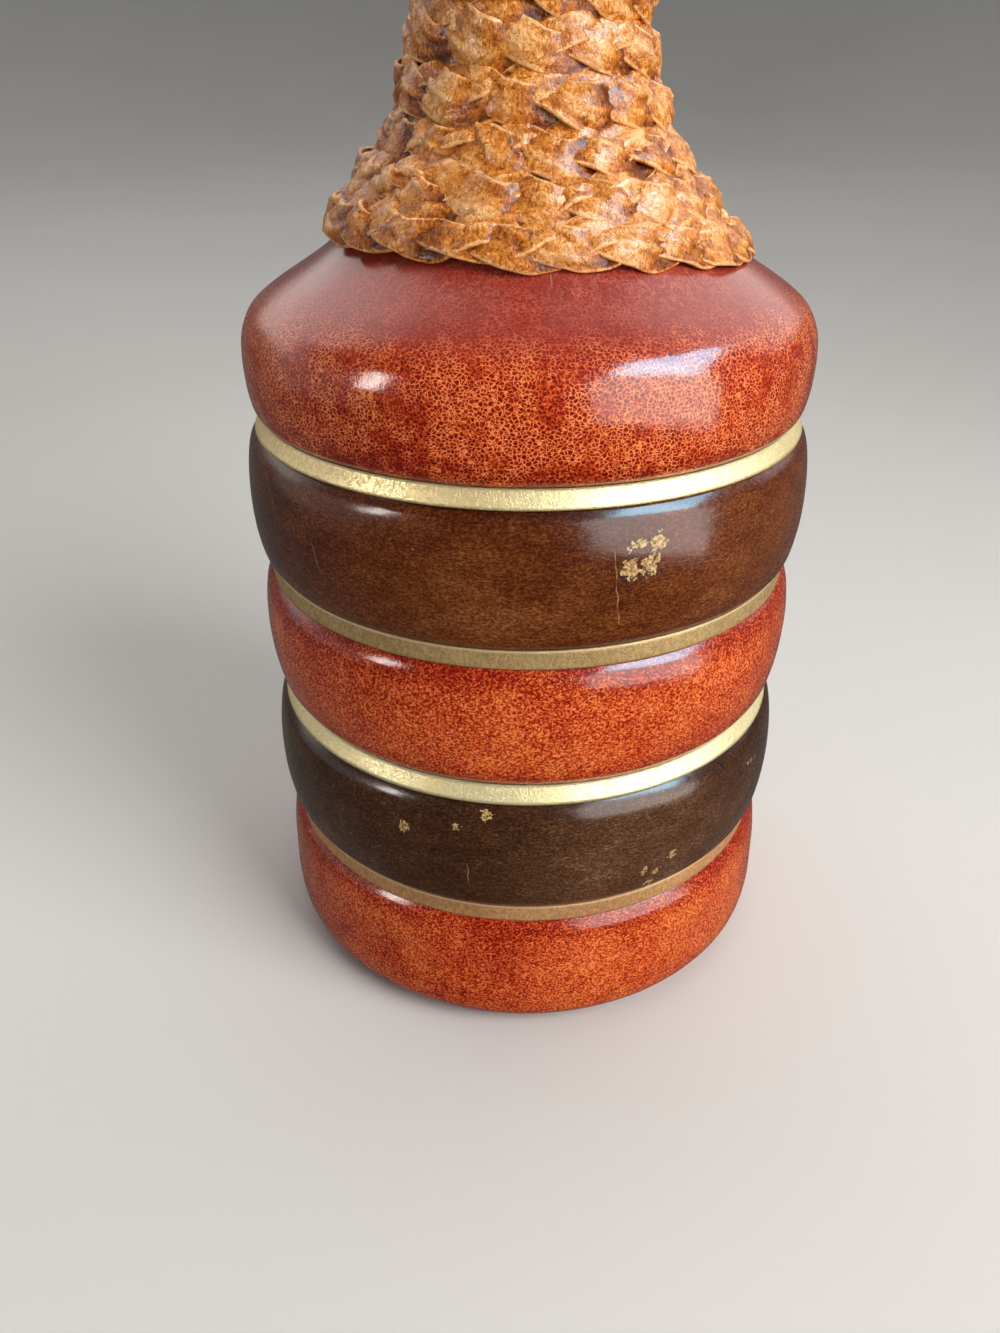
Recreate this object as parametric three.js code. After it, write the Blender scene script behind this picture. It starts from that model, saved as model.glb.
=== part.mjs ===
// A leather-wrapped decanter, in millimetres, with +Z up and its foot on Z = 0.
// A ribbed glass bottle carries a leather band on each rib, a gilt strip in each groove,
// a leather cover on its shoulder and a leather plait wound up its neck.
// A cork stopper with a leather-covered knob lifts straight out of the mouth.

import * as THREE from "three";

// Facets round the bottle and the stopper, per turn of the plait, and along the profiles
const BOTTLE_SIDES = 32;
const STOPPER_SIDES = 24;
const STEPS_PER_TURN = 24;
const CROWN_STEPS = 6;
const ROUNDING_STEPS = 3;
const WALL_STEPS = [5, 1, 8, 1];

// Clearances
const GLUE_GAP = 0.3;
const CORK_CLEARANCE = 0.3;
const STOPPER_REST_GAP = 0.3;

// Foot pad, under the turned-in edge of the lowest band
const PAD_RADIUS = 54;
const PAD_THICKNESS = 1;
const TURN_IN_RADIUS = 46;

// Glass body: its widest radius at the shoulder, grooves for the gilt strips, and a rib for each band
const SHOULDER_RADIUS = 60.3;
const GROOVE_DEPTH = 0.6;
const GROOVE_RADIUS = SHOULDER_RADIUS - GROOVE_DEPTH;
const LOWEST_GROOVE_HEIGHT = 33.8;
const GROOVE_PITCH = 33.35;
const BASE_RIB_HEIGHT = 1.9;
const BROWN_RIB_HEIGHT = 2.3;
const RED_RIB_HEIGHT = 2.4;
const RIB_INSET = 1;
const BASE_ROUNDING = 6.2;
const GLASS_WALL = 4;
const BASE_THICKNESS = 8;
const INSIDE_ROUNDING = 10;
const PUNT_RADIUS = 40;
const PUNT_RISE = 4;

// Glass shoulder and neck: rises are counted from the point named before
const SHOULDER_RISE = 13.65;
const SHOULDER_EDGE_SETBACK = 7.4;
const SHOULDER_EDGE_RADIUS = SHOULDER_RADIUS - SHOULDER_EDGE_SETBACK;
const SHOULDER_EDGE_RISE = 13.7;
const SHOULDER_ROUNDING = 8;
const NECK_FOOT_RADIUS = 40.8;
const NECK_FOOT_RISE = 7.9;
const NECK_FLARE_ANGLE = 50;
const NECK_FLARE_LENGTH = 12;
const NECK_RADIUS = 19.4;
const NECK_FLARE_RISE = 44.4;
const NECK_BLEND_LENGTH = 16.8;
const NECK_STRAIGHT = 41;
const LIP_HEIGHT = 6;
const LIP_BULGE = 2.2;
const MOUTH_CHAMFER = 1;

// Leather and gilt
const LEATHER_THICKNESS = 1.6;
const SKIVED_EDGE = 0.7;
const GILT_THICKNESS = 0.9;
const GILT_WIDTH = 4.2;
const TOP_GILT_WIDTH = 3.7;
const GILT_STRIPS = 4;
const GILT_LEAN = 1.2;
const COVER_TUCK = 12;
const COVER_SKIVE = 13;

// Plait: a flat strap wound as a left-hand helix
const PLAIT_WIDTH = 9;
const PLAIT_THICKNESS = 3.6;
const PLAIT_SHOULDER_HEIGHT = 1.6;
const PLAIT_SHOULDER_WIDTH = 8.4;
const PLAIT_CROWN_WIDTH = 4.8;
const PLAIT_TURN_GAP = 0.7;
const PLAIT_TOP_MARGIN = 1;
const PLAIT_START_AZIMUTH = 90;

// Stopper
const CORK_LENGTH = 28;
const CORK_TAPER = 1.4;
const DOWEL_RADIUS = 4;
const DOWEL_IN_CORK = 16;
const DOWEL_IN_KNOB = 13;
const COLLAR_RADIUS = 18.6;
const RING_WIDTH = 4.6;
const KNOB_RADIUS = 21.6;
const KNOB_SWELL_RISE = 10;
const KNOB_DOME_RISE = 16;

const RED_LEATHER = leather(0xa8361b);
const BROWN_LEATHER = leather(0x3a2213);
const TAN_LEATHER = leather(0xa9682a);
const GILT = new THREE.MeshStandardMaterial({ color: 0xd2b878, roughness: 0.35, metalness: 0.9 });
const GLASS = new THREE.MeshStandardMaterial({ color: 0xb9c7bd, roughness: 0.05, metalness: 0 });
const CORK = new THREE.MeshStandardMaterial({ color: 0xc19a6b, roughness: 0.9, metalness: 0 });
const WOOD = new THREE.MeshStandardMaterial({ color: 0x8a5a32, roughness: 0.6, metalness: 0 });
const FELT = new THREE.MeshStandardMaterial({ color: 0x2c1c14, roughness: 0.95, metalness: 0 });

function leather(color) {
  return new THREE.MeshStandardMaterial({ color, roughness: 0.35, metalness: 0 });
}

function point(radius, height) {
  return new THREE.Vector2(radius, height);
}

// A solid turned about +Z from a profile that runs up its outside and down its inside
function turned(name, profile, material, sides = BOTTLE_SIDES) {
  const geometry = new THREE.LatheGeometry(profile, sides).rotateX(Math.PI / 2);
  const mesh = new THREE.Mesh(geometry, material);
  mesh.name = name;
  return mesh;
}

// A closed ring between an outer and an inner line, both given from the bottom up
function turnedRing(name, outer, inner, material, sides = BOTTLE_SIDES) {
  return turned(name, [...outer, ...inner.toReversed(), outer[0]], material, sides);
}

// Points along a stretch of an ellipse, between two angles counted from the outward side
function arc(center, radiusAcross, radiusUp, from, to, steps) {
  const start = THREE.MathUtils.degToRad(from);
  const end = THREE.MathUtils.degToRad(to);
  const curve = new THREE.EllipseCurve(center.x, center.y, radiusAcross, radiusUp, start, end, start > end);
  return curve.getPoints(steps);
}

// A half-ellipse that bulges from the line between two edges
function crown(low, high, bulge) {
  const points = [];
  for (let step = 0; step <= CROWN_STEPS; step++) {
    const angle = Math.PI * (step / CROWN_STEPS - 0.5);
    const onChord = low.clone().lerp(high, (1 + Math.sin(angle)) / 2);
    points.push(point(onChord.x + bulge * Math.cos(angle), onChord.y));
  }
  return points;
}

// Grooves, from the lowest up: a strip above a brown band leans back at its top
function groove(index) {
  const low = LOWEST_GROOVE_HEIGHT + index * GROOVE_PITCH;
  const lean = index % 2 === 1 ? GILT_LEAN : 0;
  const width = index === GILT_STRIPS - 1 ? TOP_GILT_WIDTH : GILT_WIDTH;
  return {
    low: point(GROOVE_RADIUS, low),
    high: point(GROOVE_RADIUS - lean, low + width),
  };
}

const GROOVES = Array.from({ length: GILT_STRIPS }, (_, index) => groove(index));
const TOP_GROOVE = GROOVES.at(-1);

// Heights that stack up from the floor
const GLASS_BOTTOM = PAD_THICKNESS + GLUE_GAP + LEATHER_THICKNESS + GLUE_GAP;
const SHOULDER_HEIGHT = TOP_GROOVE.low.y + SHOULDER_RISE;
const SHOULDER_EDGE_HEIGHT = SHOULDER_HEIGHT + SHOULDER_EDGE_RISE;
const NECK_FOOT_HEIGHT = SHOULDER_EDGE_HEIGHT + NECK_FOOT_RISE;
const NECK_HEIGHT = NECK_FOOT_HEIGHT + NECK_FLARE_RISE;
const LIP_LOW_HEIGHT = NECK_HEIGHT + NECK_STRAIGHT;
const MOUTH_HEIGHT = LIP_LOW_HEIGHT + LIP_HEIGHT;
const BORE_RADIUS = NECK_RADIUS - GLASS_WALL;

// Outside of the glass from the widest part of the shoulder to the lip
const shoulderTop = point(SHOULDER_RADIUS, SHOULDER_HEIGHT);
const shoulderEdge = point(SHOULDER_EDGE_RADIUS, SHOULDER_EDGE_HEIGHT);
const neckFoot = point(NECK_FOOT_RADIUS, NECK_FOOT_HEIGHT);
const neckTop = point(NECK_RADIUS, NECK_HEIGHT);
const slope = neckFoot.clone().sub(shoulderEdge).normalize();
const flareAngle = THREE.MathUtils.degToRad(NECK_FLARE_ANGLE);
const flare = point(-Math.cos(flareAngle), Math.sin(flareAngle));

const wall = new THREE.CurvePath();
wall.add(
  new THREE.CubicBezierCurve(
    shoulderTop,
    shoulderTop.clone().add(point(0, SHOULDER_ROUNDING)),
    shoulderEdge.clone().addScaledVector(slope, -SHOULDER_ROUNDING),
    shoulderEdge,
  ),
);
wall.add(new THREE.LineCurve(shoulderEdge, neckFoot));
wall.add(
  new THREE.CubicBezierCurve(
    neckFoot,
    neckFoot.clone().addScaledVector(flare, NECK_FLARE_LENGTH),
    neckTop.clone().sub(point(0, NECK_BLEND_LENGTH)),
    neckTop,
  ),
);
wall.add(new THREE.LineCurve(neckTop, point(NECK_RADIUS, LIP_LOW_HEIGHT)));

const wallEnds = wall.getCurveLengths();
const WALL_LENGTH = wallEnds.at(-1);
const NECK_FOOT_AT = wallEnds[1];
const COVER_END = NECK_FOOT_AT + COVER_TUCK;

// Lengths along the wall at which every line that follows it has a point
const STATIONS = [0];
WALL_STEPS.forEach((steps, index) => {
  const start = index === 0 ? 0 : wallEnds[index - 1];
  for (let step = 1; step <= steps; step++) {
    STATIONS.push(THREE.MathUtils.lerp(start, wallEnds[index], step / steps));
  }
});

// A point at a length along the wall, offset outwards from it
function wallPoint(along, offset) {
  const share = THREE.MathUtils.clamp(along / WALL_LENGTH, 0, 1);
  const direction = wall.getTangentAt(share);
  const normal = point(direction.y, -direction.x);
  return wall.getPointAt(share).addScaledVector(normal, offset);
}

// Thickness of the shoulder cover, which is skived towards its end under the plait
function coverThickness(along) {
  const left = THREE.MathUtils.clamp((COVER_END - along) / COVER_SKIVE, 0, 1);
  return THREE.MathUtils.lerp(SKIVED_EDGE, LEATHER_THICKNESS, left);
}

// Outline of the foot, offset outwards from the glass, from below up to the lowest groove
function footLine(offset, edgeOffset, inset, startRadius) {
  const widest = GROOVE_RADIUS + BASE_RIB_HEIGHT + offset;
  const rounding = BASE_ROUNDING + offset;
  const bottom = GLASS_BOTTOM - offset;
  const top = GROOVES[0].low.clone().add(point(edgeOffset, -inset));
  const crownHeight = LOWEST_GROOVE_HEIGHT - (GROOVE_PITCH - GILT_WIDTH) / 2;
  const cornerCenter = point(widest - rounding, bottom + rounding);
  return [
    point(startRadius, bottom),
    ...arc(cornerCenter, rounding, rounding, -90, 0, ROUNDING_STEPS),
    ...arc(point(top.x, crownHeight), widest - top.x, top.y - crownHeight, 0, 90, ROUNDING_STEPS),
  ];
}

// Outline of one crowned rib, offset outwards from the glass
function ribLine(index, ribHeight, crownOffset, edgeOffset, inset) {
  const low = GROOVES[index].high.clone().add(point(edgeOffset, inset));
  const high = GROOVES[index + 1].low.clone().add(point(edgeOffset, -inset));
  return crown(low, high, ribHeight + crownOffset - edgeOffset);
}

// Outline below the widest part of the shoulder, offset outwards from the glass
function lowerShoulderLine(offset, edgeOffset, inset) {
  const low = TOP_GROOVE.high.clone().add(point(edgeOffset, inset));
  const center = point(low.x, SHOULDER_HEIGHT);
  const across = SHOULDER_RADIUS + offset - low.x;
  return arc(center, across, SHOULDER_HEIGHT - low.y, -90, 0, ROUNDING_STEPS);
}

function glassBottle() {
  const ribs = [BROWN_RIB_HEIGHT, RED_RIB_HEIGHT, BROWN_RIB_HEIGHT];
  const floorHeight = GLASS_BOTTOM + BASE_THICKNESS;
  const insideRadius = GROOVE_RADIUS - GLASS_WALL;
  const cornerCenter = point(insideRadius - INSIDE_ROUNDING, floorHeight + INSIDE_ROUNDING);
  const outside = [
    ...arc(point(0, GLASS_BOTTOM), PUNT_RADIUS, PUNT_RISE, 90, 0, ROUNDING_STEPS),
    ...footLine(0, 0, RIB_INSET, PUNT_RADIUS).slice(1),
    GROOVES[0].low,
    GROOVES[0].high,
    ...ribs.flatMap((ribHeight, index) => [
      ...ribLine(index, ribHeight, 0, 0, RIB_INSET),
      GROOVES[index + 1].low,
      GROOVES[index + 1].high,
    ]),
    ...lowerShoulderLine(0, 0, RIB_INSET),
    ...STATIONS.slice(1).map((along) => wallPoint(along, 0)),
  ];
  const lipLow = point(NECK_RADIUS, LIP_LOW_HEIGHT);
  const lipHigh = point(NECK_RADIUS, MOUTH_HEIGHT);
  const mouth = [
    ...crown(lipLow, lipHigh, LIP_BULGE).slice(1),
    point(BORE_RADIUS + MOUTH_CHAMFER, MOUTH_HEIGHT),
    point(BORE_RADIUS, MOUTH_HEIGHT - MOUTH_CHAMFER),
  ];
  const inside = [
    ...STATIONS.toReversed().map((along) => wallPoint(along, -GLASS_WALL)),
    point(insideRadius, TOP_GROOVE.low.y),
    ...arc(cornerCenter, INSIDE_ROUNDING, INSIDE_ROUNDING, 0, -90, ROUNDING_STEPS),
    ...arc(point(0, floorHeight), PUNT_RADIUS, PUNT_RISE, 0, 90, ROUNDING_STEPS),
  ];
  return turned("glass_bottle", [...outside, ...mouth, ...inside], GLASS);
}

function footPad() {
  const profile = [
    point(0, 0),
    point(PAD_RADIUS, 0),
    point(PAD_RADIUS, PAD_THICKNESS),
    point(0, PAD_THICKNESS),
  ];
  return turned("base_pad", profile, FELT);
}

const INNER_FACE = GLUE_GAP;
const OUTER_FACE = GLUE_GAP + LEATHER_THICKNESS;
const OUTER_EDGE = GLUE_GAP + SKIVED_EDGE;

function baseBand() {
  const outer = footLine(OUTER_FACE, OUTER_EDGE, GLUE_GAP, TURN_IN_RADIUS);
  const inner = footLine(INNER_FACE, INNER_FACE, GLUE_GAP, TURN_IN_RADIUS);
  return turnedRing("base_band", outer, inner, RED_LEATHER);
}

function ribBand(name, index, ribHeight, material) {
  const outer = ribLine(index, ribHeight, OUTER_FACE, OUTER_EDGE, GLUE_GAP);
  const inner = ribLine(index, ribHeight, INNER_FACE, INNER_FACE, GLUE_GAP);
  return turnedRing(name, outer, inner, material);
}

function shoulderCover() {
  const lengths = [...STATIONS.slice(1).filter((along) => along < COVER_END), COVER_END];
  const outer = [
    ...lowerShoulderLine(OUTER_FACE, OUTER_EDGE, GLUE_GAP),
    ...lengths.map((along) => wallPoint(along, GLUE_GAP + coverThickness(along))),
  ];
  const inner = [
    ...lowerShoulderLine(INNER_FACE, INNER_FACE, GLUE_GAP),
    ...lengths.map((along) => wallPoint(along, GLUE_GAP)),
  ];
  return turnedRing("shoulder_cover", outer, inner, RED_LEATHER);
}

function giltStrip(index) {
  const { low, high } = GROOVES[index];
  const face = (offset) => [low, high].map((edge) => edge.clone().add(point(offset, 0)));
  return turnedRing(`gilt_strip_${index + 1}`, face(GLUE_GAP + GILT_THICKNESS), face(GLUE_GAP), GILT);
}

const PLAIT_PITCH = PLAIT_WIDTH + PLAIT_TURN_GAP;

// The plait's section, as heights off the neck and distances along it
const PLAIT_SECTION = [
  [0, -PLAIT_WIDTH / 2],
  [PLAIT_SHOULDER_HEIGHT, -PLAIT_SHOULDER_WIDTH / 2],
  [PLAIT_THICKNESS, -PLAIT_CROWN_WIDTH / 2],
  [PLAIT_THICKNESS, PLAIT_CROWN_WIDTH / 2],
  [PLAIT_SHOULDER_HEIGHT, PLAIT_SHOULDER_WIDTH / 2],
  [0, PLAIT_WIDTH / 2],
];

// How far the shoulder cover lifts the plait off the glass, easing off past the cover's end
function coverLift(along) {
  const past = THREE.MathUtils.clamp((along - COVER_END) / PLAIT_WIDTH, 0, 1);
  return (GLUE_GAP + coverThickness(along)) * (1 - past);
}

// One section of the plait, seated on the cover or the glass, and clear of them between two steps
function plaitRing(turn) {
  const along = NECK_FOOT_AT + PLAIT_PITCH * turn;
  const lowerEdge = along - PLAIT_WIDTH / 2;
  const sagitta = wallPoint(lowerEdge, 0).x * (1 - Math.cos(Math.PI / STEPS_PER_TURN));
  const seat = coverLift(lowerEdge) + GLUE_GAP + sagitta;
  const azimuth = THREE.MathUtils.degToRad(PLAIT_START_AZIMUTH) - 2 * Math.PI * turn;
  return PLAIT_SECTION.map(([height, across]) => {
    const spot = wallPoint(along + across, seat + height);
    return new THREE.Vector3(spot.x * Math.cos(azimuth), spot.x * Math.sin(azimuth), spot.y);
  });
}

// A closed skin over a row of rings, with a flat end at each side
function skinned(rings) {
  const sides = rings[0].length;
  const faces = [];
  for (let row = 0; row + 1 < rings.length; row++) {
    for (let side = 0; side < sides; side++) {
      const next = (side + 1) % sides;
      const low = row * sides;
      const high = low + sides;
      faces.push(low + side, low + next, high + next);
      faces.push(low + side, high + next, high + side);
    }
  }
  const last = (rings.length - 1) * sides;
  for (let side = 1; side + 1 < sides; side++) {
    faces.push(0, side + 1, side);
    faces.push(last, last + side, last + side + 1);
  }
  return new THREE.BufferGeometry().setFromPoints(rings.flat()).setIndex(faces);
}

// Least distance between the points of one turn and those of the turn above
function leastTurnGap(rings) {
  let least = Infinity;
  for (let row = 0; row + STEPS_PER_TURN < rings.length; row++) {
    for (const spot of rings[row]) {
      for (const above of rings[row + STEPS_PER_TURN]) {
        least = Math.min(least, spot.distanceTo(above));
      }
    }
  }
  return least;
}

function neckPlait() {
  const climb = WALL_LENGTH - NECK_FOOT_AT - PLAIT_WIDTH / 2 - PLAIT_TOP_MARGIN;
  const steps = Math.floor((climb / PLAIT_PITCH) * STEPS_PER_TURN);
  const rings = [];
  for (let step = 0; step <= steps; step++) {
    rings.push(plaitRing(step / STEPS_PER_TURN));
  }
  console.log(`Least gap between turns of the plait: ${leastTurnGap(rings).toFixed(2)} mm`);
  const mesh = new THREE.Mesh(skinned(rings), TAN_LEATHER);
  mesh.name = "neck_plait";
  return mesh;
}

// Stopper, in its own frame with the underside of the knob at zero
const RING_TOP = GLUE_GAP + RING_WIDTH;
const COLLAR_HEIGHT = RING_TOP + GLUE_GAP;
const KNOB_WIDEST = COLLAR_HEIGHT + KNOB_SWELL_RISE;
const DOWEL_HOLE = DOWEL_RADIUS + GLUE_GAP;

// Outline of the knob above its collar, offset outwards from the wood
function knobLine(offset, edgeOffset, inset) {
  const low = point(COLLAR_RADIUS + edgeOffset, COLLAR_HEIGHT + inset);
  const across = KNOB_RADIUS + offset - low.x;
  const dome = KNOB_DOME_RISE + offset;
  return [
    ...arc(point(low.x, KNOB_WIDEST), across, KNOB_WIDEST - low.y, -90, 0, ROUNDING_STEPS),
    ...arc(point(0, KNOB_WIDEST), KNOB_RADIUS + offset, dome, 0, 90, CROWN_STEPS).slice(1),
  ];
}

function stopperCork() {
  const top = -GLUE_GAP;
  const bottom = top - CORK_LENGTH;
  const topRadius = BORE_RADIUS - CORK_CLEARANCE;
  const holeEnd = -DOWEL_IN_CORK - GLUE_GAP;
  const profile = [
    point(0, bottom),
    point(topRadius - CORK_TAPER, bottom),
    point(topRadius, top),
    point(DOWEL_HOLE, top),
    point(DOWEL_HOLE, holeEnd),
    point(0, holeEnd),
  ];
  return turned("stopper_cork", profile, CORK, STOPPER_SIDES);
}

function stopperDowel() {
  const profile = [
    point(0, -DOWEL_IN_CORK),
    point(DOWEL_RADIUS, -DOWEL_IN_CORK),
    point(DOWEL_RADIUS, DOWEL_IN_KNOB),
    point(0, DOWEL_IN_KNOB),
  ];
  return turned("stopper_dowel", profile, WOOD, STOPPER_SIDES);
}

function stopperKnob() {
  const holeEnd = DOWEL_IN_KNOB + GLUE_GAP;
  const profile = [
    point(0, holeEnd),
    point(DOWEL_HOLE, holeEnd),
    point(DOWEL_HOLE, 0),
    point(COLLAR_RADIUS, 0),
    ...knobLine(0, 0, RIB_INSET),
  ];
  return turned("stopper_knob", profile, WOOD, STOPPER_SIDES);
}

function stopperCover() {
  const outer = knobLine(OUTER_FACE, OUTER_EDGE, GLUE_GAP);
  const inner = knobLine(INNER_FACE, INNER_FACE, GLUE_GAP);
  return turned("stopper_cover", [...inner.toReversed(), ...outer], RED_LEATHER, STOPPER_SIDES);
}

function stopperRing() {
  const face = (offset) => [GLUE_GAP, RING_TOP].map((height) => point(COLLAR_RADIUS + offset, height));
  return turnedRing("stopper_ring", face(GLUE_GAP + GILT_THICKNESS), face(GLUE_GAP), GILT, STOPPER_SIDES);
}

function stopper() {
  const group = new THREE.Group();
  group.position.z = MOUTH_HEIGHT + STOPPER_REST_GAP;
  group.add(stopperCork(), stopperDowel(), stopperKnob(), stopperCover(), stopperRing());
  return group;
}

function decanter() {
  const group = new THREE.Group();
  group.add(
    glassBottle(),
    footPad(),
    baseBand(),
    ribBand("lower_brown_band", 0, BROWN_RIB_HEIGHT, BROWN_LEATHER),
    ribBand("middle_red_band", 1, RED_RIB_HEIGHT, RED_LEATHER),
    ribBand("upper_brown_band", 2, BROWN_RIB_HEIGHT, BROWN_LEATHER),
    shoulderCover(),
    ...GROOVES.map((_, index) => giltStrip(index)),
    neckPlait(),
    stopper(),
  );
  return group;
}

export default decanter();
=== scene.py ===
# A leather-wrapped decanter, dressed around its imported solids.
# Lengths are in millimetres until a mesh is made, and then in metres.

import math

import bpy
import numpy as np
from mathutils import Matrix, Vector, noise


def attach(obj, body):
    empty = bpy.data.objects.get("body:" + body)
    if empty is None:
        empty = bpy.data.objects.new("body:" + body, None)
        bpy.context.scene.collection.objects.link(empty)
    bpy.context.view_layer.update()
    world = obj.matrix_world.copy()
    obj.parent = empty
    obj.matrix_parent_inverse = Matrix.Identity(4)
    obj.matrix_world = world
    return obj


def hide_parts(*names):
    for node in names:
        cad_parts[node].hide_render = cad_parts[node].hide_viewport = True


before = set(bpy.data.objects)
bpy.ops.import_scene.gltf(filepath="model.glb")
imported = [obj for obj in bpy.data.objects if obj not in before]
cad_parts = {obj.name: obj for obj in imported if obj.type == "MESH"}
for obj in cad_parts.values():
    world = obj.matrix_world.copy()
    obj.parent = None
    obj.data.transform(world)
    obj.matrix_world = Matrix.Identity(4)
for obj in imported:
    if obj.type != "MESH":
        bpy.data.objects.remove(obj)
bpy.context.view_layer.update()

MM = 0.001

# Camera at the photograph's angle: its place in metres, its turns in degrees and its sensor in mm
CAMERA_PLACE = (-0.00644, -0.2388, 0.2070)
CAMERA_PITCH = 30.70
CAMERA_ROLL = 0.236
FOCAL_PIXELS = 1056.77
IMAGE_HEIGHT = 1333
SENSOR = 36.0
CLIP_START = 0.01

# Floor, in metres, and light
FLOOR_SIDES = 96
FLOOR_RADII = (0.3, 0.8, 1.4, 2.0)
SWEEP_RADIUS = 2.2
SWEEP_STEPS = 12
ROOM = 0.035
ROOM_AROUND = 0.085
WALL_LEFT = 0.1
WALL_BEHIND = 1.5
MIDDLE = (0.0, 0.0, 0.12)
COOL = (0.3, 0.73, 1.0)
WARM = (1.0, 0.97, 0.93)

# Outlines
ON_PLANE = 1e-5
ON_AXIS = 1e-3
CORNER_ANGLE = 38
PROFILE_STEP = 0.9
EDGE_ROUNDING = 0.2
STRIP_ROUNDING = 0.15
LONGEST_TRIM = 0.4
TRIM_CLEAR = 0.3
LONG_RUN = 0.5
CORNER_SHARES = (0.25, 0.5, 0.75)
STRIP_REACH = 0.1
STRIP_LEAN = 1.0
BAND_REACH = 0.15

# Turned pieces
SEGMENTS = 240
HIDDEN_SEGMENTS = 128
KNOB_SEGMENTS = 144
CORE_SEGMENTS = 96
DOWEL_SEGMENTS = 48
FACE_EASE = 1.5
WIDE_SWELL = 26
SMALL_SWELL = 7
WIDE_SHARE = 0.75
SMALL_SHARE = 0.25
LEATHER_UNEVEN = 0.16
KNOB_UNEVEN = 0.12
STRIP_UNEVEN = 0.05

# Butt seams
SEAM_OFFSETS = (-1.5, -1.0, -0.65, -0.4, -0.2, 0.0, 0.2, 0.4, 0.65, 1.0, 1.5)
SEAM_CLEAR = 2
SEAM_DEPTH = 0.45
SEAM_WIDTH = 0.25
SEAM_LIP = 0.1
SEAM_LIP_OFFSET = 0.8
SEAM_LIP_WIDTH = 0.45
SEAM_STAIN_WIDTH = 0.4

# Scuffs on the brown bands, as azimuth from the front in degrees, height and size
HIGH_BAND_SCUFFS = (
    (17.3, 127.0, 1.7),
    (21.3, 126.9, 2.1),
    (16.1, 122.3, 2.2),
    (19.8, 122.5, 2.3),
    (-20.3, 125.9, 0.8),
    (131.0, 117.0, 1.8),
    (-152.0, 124.0, 1.6),
)
LOW_BAND_SCUFFS = (
    (-25.8, 58.6, 1.7),
    (-8.7, 65.0, 1.4),
    (-14.7, 61.5, 1.2),
    (30.7, 48.2, 1.5),
    (23.9, 46.4, 1.3),
    (26.9, 45.0, 1.2),
    (25.7, 41.4, 1.4),
    (56.0, 60.0, 1.2),
    (-118.0, 52.0, 1.6),
    (164.0, 57.0, 1.5),
)
SCUFF_DEPTH = 0.12

# Scratches on the brown bands, as azimuth and height of one end and then of the other
HIGH_BAND_SCRATCHES = (
    (13.4, 126.2, 14.7, 111.1),
    (-43.0, 121.5, -41.1, 114.9),
    (-60.6, 130.8, -55.0, 123.9),
    (101.0, 126.0, 98.0, 113.0),
)
LOW_BAND_SCRATCHES = (
    (-12.5, 52.0, -12.2, 46.0),
    (60.0, 62.0, 57.0, 57.0),
    (-95.0, 60.0, -99.0, 46.0),
)
SCRATCH_FAR = 9.0
SCRATCH_REACH = (4, 2.5)
SCRATCH_END = 1
FAINT_SCRATCHES = 34
FAINT_STRENGTH = 0.35
FAINT_LENGTHS = (1.5, 4.5)
FAINT_LEAN = 0.5
FAINT_MARGIN = 4
HIGH_BAND_WEAR = (HIGH_BAND_SCUFFS, HIGH_BAND_SCRATCHES)
LOW_BAND_WEAR = (LOW_BAND_SCUFFS, LOW_BAND_SCRATCHES)
UNWORN = ((), ())

# Seat of the plait
NECK_FOOT = (40.8, 169.1)
SLOPE_START_HEIGHT = 160.0
LIP_LOW_HEIGHT = 254.5
COVER_STEP = 0.5
COVER_EASE = 9.0
SEAT_STEP = 0.25
SEAT_SMOOTHING = 17

# Course of the plait and of its strands
PLAIT_PITCH = 9.7
PLAIT_START_ANGLE = 90
PLAIT_TOP_CLEARANCE = 6.0
PLAIT_SAMPLES = 6000
STRANDS = 3
STRAND_SEED = 40
STRAND_STEP = 0.6
STRAND_SPACING = 20.0
STRAND_WAVE = 33.0
STRAND_SWAY = 3.1
STRAND_BASE = 2.3
STRAND_RISE = 0.65
NECK_SWELL = 0.8
NECK_SWELL_TURNS = (2.5, 4.5)
ROW_TILT = 8
ROW_TILT_TURNS = (0.4, 1.3)
LOW_EDGE_ROLL = 20
HIGH_EDGE_ROLL = 5

# Slow random changes along a strand, as amount and length
PHASE_DRIFT = (0.35, 40)
SWAY_DRIFT = (0.2, 11)
SIDE_DRIFT = (0.3, 9)
RISE_DRIFT = (0.2, 7)
WIDTH_DRIFT = (0.16, 8)
ROLL_DRIFT = (11, 7)

# Lowest row, drawn up over the front, let down at both sides and fuller on the left
DRAWN_UP_FROM = (0.28, 0.45)
DRAWN_UP_TO = (1.2, 0.75)
DRAWN_UP = 0.9
DRAWN_IN = 0.4
DRAWN_NARROW = 0.12
LET_DOWN = ((0.23, 0.1, 2.8), (0.76, 0.1, 1.8))
LEFT_SWELLS = ((0.78, 0.2, 1.0), (1.76, 0.2, 0.7))

# Ends of the plait, tucked under the next row
END_TAPER = 14.0
END_TUCK = 6.0
END_TUCK_LENGTH = 24.0
END_FLATTENING = 0.55
END_SWAY = 0.35
END_RISE = 0.5
END_WIDTH = 0.5
END_THICKNESS = 0.6

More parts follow.
